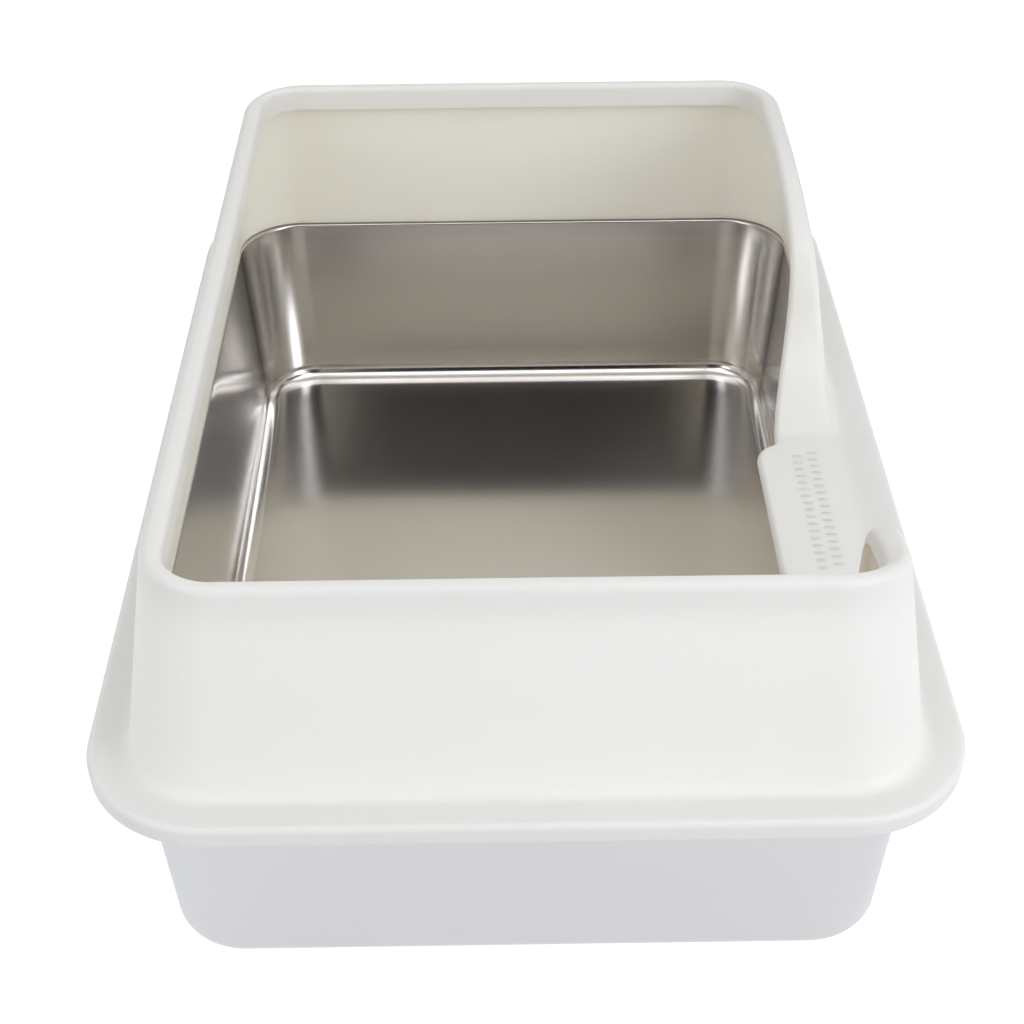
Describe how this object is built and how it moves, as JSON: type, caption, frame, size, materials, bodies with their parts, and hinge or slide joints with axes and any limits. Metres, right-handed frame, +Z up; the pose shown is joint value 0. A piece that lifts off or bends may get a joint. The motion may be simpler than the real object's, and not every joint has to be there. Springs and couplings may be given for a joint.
{
  "type": "stainless steel litter box with enclosure",
  "caption": "Deep drawn steel pan with a high-sided plastic enclosure that lifts off its rim; a low side entry has a small tread.",
  "frame": {"origin": "middle of the pan's underside, on the floor", "axes": "+Z up, +X towards the side entry, -Y towards the short end nearer the entry"},
  "size_m": [0.42, 0.61, 0.2324],
  "materials": {
    "satin_steel": "satin brushed stainless steel",
    "white_plastic": "satin warm white polypropylene"
  },
  "bodies": {
    "pan": {"litter_pan": "satin_steel"},
    "enclosure": {"enclosure": "white_plastic"}
  },
  "joints": [
    {"name": "enclosure_lift", "type": "slide", "parent": "pan", "child": "enclosure", "axis": [0, 0, 1], "range_m": [0, 0.12]}
  ]
}
